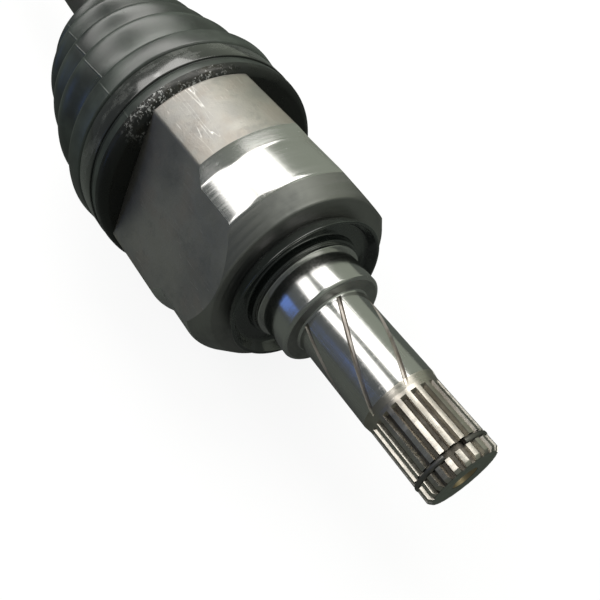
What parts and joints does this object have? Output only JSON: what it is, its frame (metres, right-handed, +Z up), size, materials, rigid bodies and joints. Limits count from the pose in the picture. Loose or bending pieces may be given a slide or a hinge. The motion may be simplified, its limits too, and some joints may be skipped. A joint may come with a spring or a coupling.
{
  "type": "tripod cv joint",
  "caption": "Inboard tripod CV joint: forged three-lobed housing with splined stub and seal collar, folded rubber boot with band clamps, and a splined shaft that plunges and swings.",
  "frame": {"origin": "on the joint axis at the front face of the seal collar, where the journal starts", "axes": "+X along the joint axis towards the splined tip, +Z up through the trunnion that the shaft swings about, +Y to the side that the shaft leans to at rest"},
  "size_m": [0.4298, 0.0986, 0.0986],
  "materials": {
    "forged_steel": "satin forged and turned steel, oiled",
    "ground_steel": "ground bearing steel",
    "black_steel": "glossy black phosphate",
    "spring_steel": "spring steel",
    "rubber": "moulded rubber, semi-matt",
    "shaft_steel": "satin black painted bar with bare splines",
    "band_steel": "black coated band steel"
  },
  "bodies": {
    "housing": {"tulip_housing": "forged_steel", "deflector_ring": "black_steel", "stub_circlip": "spring_steel", "boot": "rubber", "large_clamp": "band_steel"},
    "plunge_carrier": {"needle_rollers_1": "ground_steel"},
    "shaft": {"tripod_spider": "ground_steel", "intermediate_shaft": "shaft_steel", "nose_snap_ring": "spring_steel", "stop_snap_ring": "spring_steel", "small_clamp": "band_steel", "shaft_circlip": "spring_steel", "needle_rollers_2": "ground_steel", "needle_rollers_3": "ground_steel", "needle_washer_1": "spring_steel", "needle_washer_2": "spring_steel", "needle_washer_3": "spring_steel", "trunnion_snap_ring_1": "spring_steel", "trunnion_snap_ring_2": "spring_steel", "trunnion_snap_ring_3": "spring_steel"},
    "roller_one": {"roller_1": "ground_steel"},
    "roller_two": {"roller_2": "ground_steel"},
    "roller_three": {"roller_3": "ground_steel"}
  },
  "joints": [
    {"name": "plunge", "type": "slide", "parent": "housing", "child": "plunge_carrier", "axis": [1, 0, 0], "range_m": [-0.015, 0.015], "deforming": ["boot"]},
    {"name": "articulation", "type": "hinge", "parent": "plunge_carrier", "child": "shaft", "pos_m": [-0.0673, 0, 0], "axis": [0, 0, -1], "range_deg": [-19, 11], "deforming": ["boot"]},
    {"name": "roller_one_roll", "type": "hinge", "parent": "plunge_carrier", "child": "roller_one", "pos_m": [-0.0673, 0, 0.0225], "axis": [0, 0, 1], "range_deg": [-58.3, 58.3]},
    {"name": "roller_two_roll", "type": "hinge", "parent": "shaft", "child": "roller_two", "pos_m": [-0.06866, -0.01944, -0.01125], "axis": [-0.0604, -0.8639, -0.5], "range_deg": [-58.3, 58.3]},
    {"name": "roller_three_roll", "type": "hinge", "parent": "shaft", "child": "roller_three", "pos_m": [-0.06594, 0.01944, -0.01125], "axis": [0.0604, 0.8639, -0.5], "range_deg": [-58.3, 58.3]}
  ],
  "couplings": [
    {"joint": "roller_one_roll", "follows": "plunge", "rad_per_m": 66.667},
    {"joint": "roller_two_roll", "follows": "plunge", "rad_per_m": 66.667},
    {"joint": "roller_three_roll", "follows": "plunge", "rad_per_m": 66.667}
  ]
}
